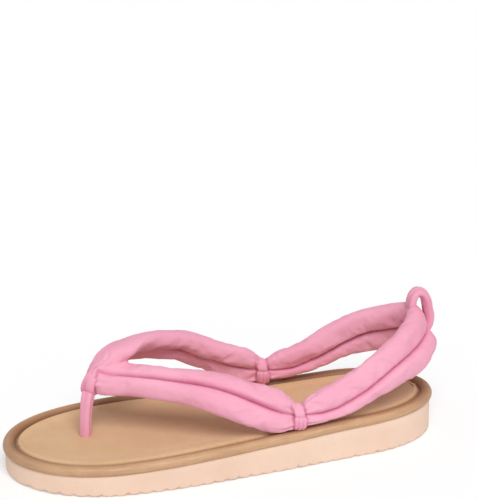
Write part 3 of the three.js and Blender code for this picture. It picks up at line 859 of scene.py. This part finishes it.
def relax(piece, rounds, share):
    """Evens out a surface by moving each point towards its neighbours' middle."""
    points = points_of(piece)
    ends = np.zeros(len(piece.data.edges) * 2, np.int32)
    piece.data.edges.foreach_get("vertices", ends)
    first, second = ends.reshape(-1, 2).T
    count = np.bincount(ends, minlength=len(points))[:, None]
    for _ in range(rounds):
        total = np.zeros_like(points)
        for column in range(3):
            total[:, column] += np.bincount(first, points[second, column], len(points))
            total[:, column] += np.bincount(second, points[first, column], len(points))
        points = points + (total / count - points) * share
    return points


def normals_of(mesh):
    normals = np.zeros(len(mesh.vertices) * 3)
    mesh.vertex_normals.foreach_get("vector", normals)
    return normals.reshape(-1, 3)


class Seam:
    """The crease as a run of points, each with its row, its running length and its upward direction."""

    def __init__(self, samples):
        self.rows = np.linspace(0, LAST_ROW, samples)
        self.line = CREASE.point(self.rows)
        self.along = running_length(self.line)
        self.upward = unit(roll_sections(1, self.rows)[2] + roll_sections(-1, self.rows)[2])

    def place(self, row):
        """Running length at a row of the table."""
        return self.along[np.abs(self.rows - row).argmin()]

    def level(self, points, k):
        """Height of points above the crease at their samples."""
        return ((points - self.line[k]) * self.upward[k]).sum(1)

    def from_end(self, k):
        return np.minimum(self.along[k], self.along[-1] - self.along[k])


def refine_near_crease(strap):
    """Smaller faces beside the crease, so that it can be a narrow fold."""
    seam = Seam(samples=900)
    points = points_of(strap)
    k, away = nearest(points, seam.line)
    close = (np.abs(seam.level(points, k)) < FINE_REACH) & (away < ROLL_THICKNESS * 0.75)
    shell = bmesh.new()
    shell.from_mesh(strap.data)
    edges = [e for e in shell.edges if close[e.verts[0].index] and close[e.verts[1].index]]
    bmesh.ops.subdivide_edges(shell, edges=edges, cuts=1, use_grid_fill=True, smooth=0.5)
    shell.to_mesh(strap.data)
    shell.free()
    strap.data.update()


def swell(strap):
    """Stuffs the strap: its cloth swells and wrinkles where the crease, the ties and the ends hold it."""
    seam = Seam(samples=900)
    points = points_of(strap)
    k = nearest(points, seam.line)[0]
    hold = bell(np.abs(seam.level(points, k)), 1.3, 4)
    for row in (OUTER_TIE_ROW, INNER_TIE_ROW):
        hold = np.maximum(hold, bell(np.abs(seam.along[k] - seam.place(row)), 3.2, 6))
    hold = np.maximum(hold, bell(seam.from_end(k), 5, 4))
    held = strap.vertex_groups.new(name="held")
    for index, weight in enumerate(hold):
        if weight > 0.02:
            held.add([index], float(weight), "REPLACE")
    cloth = strap.modifiers.new("swell", "CLOTH")
    cloth.collision_settings.use_collision = False
    cloth.settings.effector_weights.gravity = 0
    cloth.settings.vertex_group_mass = "held"
    for setting, value in SWELL_CLOTH.items():
        setattr(cloth.settings, setting, value)
    for step in range(1, SWELL_STEPS + 1):
        bpy.context.scene.frame_set(step)
    swollen = strap.evaluated_get(bpy.context.evaluated_depsgraph_get())
    move = points_of(swollen) - points
    far = np.linalg.norm(move, axis=1)[:, None]
    strap.modifiers.clear()
    strap.vertex_groups.clear()
    bpy.context.scene.frame_set(1)
    set_points(strap, points + move * np.minimum(1, SWELL_LIMIT / np.maximum(far, 0.001)))


def strap_skin():
    """One skin over the two rolls and their corner, swollen, smoothed and finer beside the crease."""
    parts = [
        swept_piece("upper_roll", roll_rings(1, 1, LAST_ROW - 1)),
        swept_piece("lower_roll", roll_rings(-1, 0, LAST_ROW)),
        corner_shell(),
    ]
    strap = merged_mesh("padded_strap", parts)
    skin = strap.modifiers.new("skin", "REMESH")
    skin.mode = "VOXEL"
    skin.voxel_size = SKIN_GRAIN * MM
    apply_modifiers(strap)
    set_points(strap, relax(strap, 4, 0.5))
    swell(strap)
    soft = strap.modifiers.new("soft", "SUBSURF")
    soft.levels = soft.render_levels = 1
    apply_modifiers(strap)
    refine_near_crease(strap)
    return strap


def round_the_rolls(points, rows):
    """For each point: whether its roll is the upper one, its sample of the rows, its turn round the roll."""
    rolls = [roll_sections(side, rows) for side in (1, -1)]
    found = nearest(points, np.vstack([roll[0] for roll in rolls]))[0]
    upper = found < len(rows)
    k = found % len(rows)
    middle, _, across, out = (np.where(upper[:, None], rolls[0][j][k], rolls[1][j][k]) for j in range(4))
    half, thick = (np.where(upper, rolls[0][j][k], rolls[1][j][k]) for j in (4, 5))
    local = points - middle
    return upper, k, np.arctan2((local * out).sum(1) / thick, (local * across).sum(1) / half)


def make_strap():
    strap = strap_skin()
    points = points_of(strap)
    seam = Seam(samples=1200)
    upper, k, turn = round_the_rolls(points, seam.rows)
    run = seam.along[k]
    to_toe = seam.from_end(k)
    side = np.where(upper, 1.0, -1.0)
    level = seam.level(points, k)
    near = np.abs(level)
    inward = -unit(points - seam.line[k])
    open_end = np.clip((to_toe - 1) / 4, 0, 1)

    # Soft lumps, pleats that spread from the ties and the toe, and the heel's tucked-in underside
    push = LUMP_HEIGHT * soft_noise(run / LUMP_LENGTH + side * 4, 11)
    push += SMALL_LUMP_HEIGHT * soft_noise(run / SMALL_LUMP_LENGTH + turn * 1.3 + side, 12)
    ties = [seam.place(row) for row in (OUTER_TIE_ROW, INNER_TIE_ROW)]
    for n, place in enumerate([*ties, 0, seam.along[-1]]):
        away = np.maximum(0, np.abs(run - place) - BAND_HALF)
        pleat = np.sin(turn * 6 + 1.7 * n + side + np.sin(turn * 3 + n) * 1.4 + 0.1 * (run - place))
        push += PLEAT_HEIGHT * pleat * bell(away, PLEAT_REACH)
    underside = ~upper * np.maximum(0, -np.cos(turn)) ** 1.5
    push -= HEEL_TUCK * underside * bell(run - seam.place(HEEL_ROW), HEEL_TUCK_LENGTH)
    push *= np.clip(near / 3, 0, 1)
    set_points(strap, points + normals_of(strap.data) * push[:, None])
    points = relax(strap, 1, 0.4) + inward * (CREASE_DEPTH * open_end * bell(near, CREASE_WIDTH))[:, None]
    set_points(strap, points)

    # Painted shade: in the fold, where the cloth isn't drawn tight, and beside each band where it meets the
    # strap
    to_tie = np.min([np.abs(run - place) for place in ties], axis=0)
    drawn = np.interp(to_tie, [3, 14], [0.3, 1]) * np.interp(to_toe, [2, 14, 50], [0.15, 0.5, 1])
    painted_shade = open_end * drawn * bell(level, np.where(level > 0, 1.7, 0.8))
    for middle, axis, long, size, lean, margin in band_places():
        height = (points - middle) @ long / ((size["height"] - size["thickness"]) / 2)
        sideways = np.abs((points - middle) @ axis - leaning(height, lean)) - size["width"] / 2 - margin
        inside = size["height"] * 0.75 - np.linalg.norm(points - middle, axis=1)
        painted_shade = np.maximum(painted_shade, 0.8 * bell(sideways, 0.8) * np.clip(inside / 3, 0, 1))
    strap.data.materials.append(CLOTH)
    strap.data.shade_smooth()
    paint(strap, "crease", painted_shade)
    return strap


def wound_band(name, middle, long, short, axis, size, shape, folds, seed):
    """A folded band of cloth wound once round the strap.

    Shape gives its width, dip and sideways lean along its height.
    """
    steps, sides = 96, 44
    c, s = oval(full_turn(sides), 0.85)
    long_half, short_half = (size["height"] - size["thickness"]) / 2, (size["depth"] - size["thickness"]) / 2
    turns = full_turn(steps)
    up = long_half * np.cos(turns)
    wide, dip, lean = shape(up / long_half)
    line = middle + np.outer(up, long) + np.outer(lean, axis)
    line = line + np.outer(short_half * np.sin(turns) * dip, short)
    out = unit(np.cross(np.roll(line, -1, 0) - np.roll(line, 1, 0), axis))
    out *= np.sign((out * (line - middle)).sum(1))[:, None]
    rings, shade = [], []
    for k in range(steps):
        low = 0.5 - 0.5 * np.clip(2.2 * up[k] / long_half, -1, 1)
        wave = np.cos(folds * np.pi * c + seed + 0.5 * math.sin(2 * turns[k] + seed))
        lift = 1 + 0.2 * low * wave * (s > -0.3)
        band = np.outer(c, axis) * size["width"] / 2 * wide[k]
        rings.append(line[k] + band + np.outer(s * lift, out[k]) * size["thickness"] / 2)
        # Painted shade: darker at the band's edges where it meets the strap, in its folds and on its lower
        # part
        edge_shade = 0.45 * np.clip((np.abs(c) - 0.75) / 0.25, 0, 1)
        shade.append(np.clip(np.clip(-wave - 0.2, 0, 1) * 0.6 * low + edge_shade + 0.15 * low, 0, 1))
    band = swept_piece(name, rings, CLOTH, closed=True)
    paint(band, "crease", np.concatenate(shade))
    return band


def leaning(level, lean):
    """Sideways shift of a tie at a level of -1 to 1, more above its middle."""
    return lean * (level + KNOB_LEAN * np.maximum(0, level))


def tie_shape(waist, lean):
    """A knob above the crease, a dip at it and a wider, folded foot below."""
    levels = [-1, -0.75, waist - 0.25, waist, waist + 0.3, 0.85, 1]
    widths = [1.0, 1.2, 1.22, 0.88, 0.95, 0.92, 0.8]

    def shape(level):
        dip = 1 + 0.06 * bell(level - 0.5, 0.3) - 0.2 * bell(level - waist, 0.16)
        return np.interp(level, levels, widths), dip, leaning(level, lean)

    return shape


def wrap_shape(level):
    """Slightly wider and further aside towards its foot and its top."""
    return 1 - 0.08 * level, np.ones_like(level), BAND_LEAN * (level + 1)


def stem_rings(top, bottom, x, y, radius, seed):
    """Level rings of a gathered cloth stem."""
    angle = full_turn(32)
    rings = []
    for z in np.linspace(top, bottom, 26):
        folds = 1 + 0.06 * np.sin(5 * angle + seed + z * 0.12) + 0.03 * math.sin(z * 0.5 + seed)
        wide = radius * folds
        rings.append(np.column_stack([x + wide * np.cos(angle), y + wide * np.sin(angle), np.full(32, z)]))
    return rings


def tie_frame(row):
    """Middle, directions and lean of a tie, and its waist's level, where the two rolls meet."""
    ahead, across, out = (v[0] for v in CREASE.frame(row, np.zeros(1)))
    upper, lower = STRAP_ROWS[row, 5:7]
    middle = CREASE.point(row)[0] + across * (upper - lower) * ROLL_WIDTH / 2
    waist = (lower - upper) * ROLL_WIDTH / TIE["height"]
    return middle, ahead, across, out, BAND_LEAN * np.sign(ahead[0]), waist


def post_frame():
    """Middle of the toe post's band, its way back, and its axis and long and short directions."""
    back = CREASE.ahead(0)[0] - CREASE.ahead(LAST_ROW)[0]
    back[2] = 0
    back = np.array(Matrix.Rotation(math.radians(POST_TURN), 3, "Z") @ Vector(unit(back)))
    axis = np.array([-back[1], back[0], 0])
    lean = math.radians(POST_LEAN)
    long = np.array([0, 0, math.cos(lean)]) + back * math.sin(lean)
    return roll_sections(-1, 0)[0][0], back, axis, long, np.cross(axis, long)


def band_places():
    """Middle, axis, long direction, size, lean and margin of the bands that hold the strap."""
    places = []
    for row in (OUTER_TIE_ROW, INNER_TIE_ROW):
        middle, ahead, across, _, lean, _ = tie_frame(row)
        places.append((middle, ahead, across, TIE, lean, 0.6))
    middle, _, axis, long, _ = post_frame()
    places.append((middle, axis, long, POST, 0, 0.3))
    return places


def make_tie(name, row, seed):
    middle, ahead, across, out, lean, waist = tie_frame(row)
    band = wound_band(name, middle, across, out, ahead, TIE, tie_shape(waist, lean), 3, seed)
    foot = middle - across * (TIE["height"] - TIE["thickness"]) / 2
    side = np.sign(middle[1])
    wall = wall_line(np.array([share_at(foot[0])]), side)[0]
    y = wall[1] - side * (RIM_WIDTH - RIM_OVERHANG + GAP + TIE["stem"] / 2)
    bottom = footbed_top(foot[0]) - SOCKET_DEPTH + GAP
    stem = swept_piece(name + "_stem", stem_rings(foot[2], bottom, foot[0], y, TIE["stem"] / 2, seed), CLOTH)
    # Painted shade: the stem under the strap is a little darker all over
    paint(stem, "crease", np.full(len(stem.data.vertices), 0.3))
    return band, stem


def make_post():
    middle, back, axis, long, short = post_frame()
    band = wound_band("toe_wrap", middle, long, short, axis, POST, wrap_shape, 1.2, 2.0)
    top = middle - long * (POST["height"] - POST["thickness"]) / 2
    foot = top - back * POST["forward"]
    foot[2] = footbed_top(foot[0]) - SOCKET_DEPTH + GAP
    bend = top - long * (top[2] - foot[2]) * 0.3
    angle = full_turn(36)
    c, s = oval(angle, 0.8)
    rings = []
    for u in np.linspace(0, 1, 34):
        line = top * (1 - u) ** 2 + 2 * bend * u * (1 - u) + foot * u**2
        run = (bend - top) * (1 - u) + (foot - bend) * u
        face = unit(np.cross(run, axis))
        folds = 1 + 0.07 * np.sin(5 * angle + 2.4 * u) + 0.02 * math.sin(9 * u)
        wide = POST["width"] / 2 * (0.92 - 0.14 * u)
        rings.append(line + np.outer(c * folds, axis) * wide + np.outer(s * folds, face) * POST["stem"] / 2)
    stem = swept_piece("toe_stem", rings, CLOTH)
    shade = np.clip(-np.sin(5 * angle), 0, 1) * 0.3
    paint(stem, "crease", np.append(np.tile(shade, len(rings)), [0.2, 0.2]))
    return band, stem


def smooth_line(knots, steps):
    """A smooth line through knots, with steps from each to the next."""
    knots = np.vstack([2 * knots[0] - knots[1], knots, 2 * knots[-1] - knots[-2]])
    line = []
    for i in range(1, len(knots) - 2):
        a, b, c, d = knots[i - 1 : i + 3]
        for u in np.linspace(0, 1, steps, endpoint=False):
            bend = (2 * a - 5 * b + 4 * c - d) * u**2 + (3 * b - a - 3 * c + d) * u**3
            line.append(0.5 * (2 * b + (c - a) * u + bend))
    return np.array([*line, knots[-2]])


def make_pull():
    middle, ahead, across, out = (v[0] for v in roll_sections(1, HEEL_ROW)[:4])
    rise, reach = across * PULL["rise"], out * PULL["reach"]
    line = smooth_line(np.array([middle + rise * up + reach * away for up, away in PULL_ROWS]), 12)
    c, s = oval(full_turn(36), 0.8)
    rings, shade = [], []
    for k, (point, tangent) in enumerate(zip(line, unit(np.gradient(line, axis=0)))):
        face = unit(np.cross(tangent, ahead))
        inner = np.clip(s * np.sign(face @ (line.mean(0) - point)), 0, 1)
        wave = 1 + 0.06 * math.sin(k * 0.09 + 1) + 0.02 * math.sin(k * 0.33) + 0.35 * bell(k - 34, 16) * inner
        pleat = np.sin(c * 5 + k * 0.05)
        wide = PULL["width"] / 2 * (0.97 + 0.03 * math.sin(k * 0.15))
        high = s * (1 + 0.1 * pleat) * wave
        rings.append(point + np.outer(c, ahead) * wide + np.outer(high, face) * PULL["thickness"] / 2)
        shade.append(0.05 + 0.25 * inner + 0.25 * np.clip(-pleat, 0, 1))
    piece = swept_piece("cloth_pull", rings, CLOTH)
    paint(piece, "crease", np.append(np.concatenate(shade), [0.3, 0.3]))
    return piece


outsole = make_outsole()
rim = make_rim()
bed = make_footbed()
strap = make_strap()
tie_outer, tie_outer_stem = make_tie("outer_tie", OUTER_TIE_ROW, 0.6)
tie_inner, tie_inner_stem = make_tie("inner_tie", INNER_TIE_ROW, 3.1)
wrap, stem = make_post()
pull = make_pull()

for piece, nodes, slot in (
    (outsole, ["outsole"], "foam"),
    (rim, ["rim"], "rim"),
    (bed, ["footbed"], "footbed"),
    (strap, ["strap"], "cloth"),
    (tie_outer, ["tie_outer"], "cloth"),
    (tie_outer_stem, ["tie_outer"], "cloth"),
    (tie_inner, ["tie_inner"], "cloth"),
    (tie_inner_stem, ["tie_inner"], "cloth"),
    (wrap, ["toe_post"], "cloth"),
    (stem, ["toe_post"], "cloth"),
    (pull, ["heel_loop"], "cloth"),
):
    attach(piece, "root")
    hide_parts(*nodes)

# Floor, light and camera

# The photo's long lens in millimetres, and the camera's place in metres and its directions
LENS = 150.8
CAMERA_PLACE = (-0.31454, -1.04142, 0.51902)
CAMERA_FORWARD = (0.27871, 0.89654, -0.34431)
CAMERA_RIGHT = (0.95492, -0.29686, 0)
FLOOR_HALF = 6000
FLOOR_GREY = (0.66, 0.66, 0.66, 1)
WHITE = (1, 1, 1, 1)
SKY_STRENGTH = 0.52


def make_floor():
    corners = [(x * FLOOR_HALF, y * FLOOR_HALF, 0) for x, y in ((-1, -1), (1, -1), (1, 1), (-1, 1))]
    paper = Finish("pale_floor", base=FLOOR_GREY, roughness=0.9, specular=0.1, glow_colour=WHITE, glow=0.3)
    mesh_piece("floor", corners, [[0, 1, 2, 3]], paper.material)


def sun_light(name, come_from, softness, strength):
    """An even light from a direction, softened by its angle in degrees."""
    light = bpy.data.lights.new(name, "SUN")
    light.angle = math.radians(softness)
    light.energy = strength
    placed(name, light).rotation_euler = Vector(come_from).to_track_quat("Z", "Y").to_euler()


def make_stage():
    make_floor()
    world = bpy.data.worlds.new("studio")
    world.use_nodes = True
    sky = world.node_tree.nodes["Background"]
    sky.inputs["Color"].default_value = WHITE
    sky.inputs["Strength"].default_value = SKY_STRENGTH
    sun_light("key", come_from=(-0.08, -0.85, 1.1), softness=34, strength=2.15)
    scene = bpy.context.scene
    scene.world = world
    scene.view_settings.view_transform = "Standard"
    scene.view_settings.look = "None"


def make_camera():
    camera = bpy.data.cameras.new("camera")
    camera.sensor_width = 36
    camera.lens = LENS
    camera.clip_start = 0.05
    camera.clip_end = 30
    forward, right = Vector(CAMERA_FORWARD), Vector(CAMERA_RIGHT)
    turned = Matrix((right, right.cross(forward), -forward)).transposed().to_4x4()
    turned.translation = Vector(CAMERA_PLACE)
    holder = placed("camera", camera)
    holder.matrix_world = turned
    bpy.context.scene.camera = holder


make_stage()
make_camera()
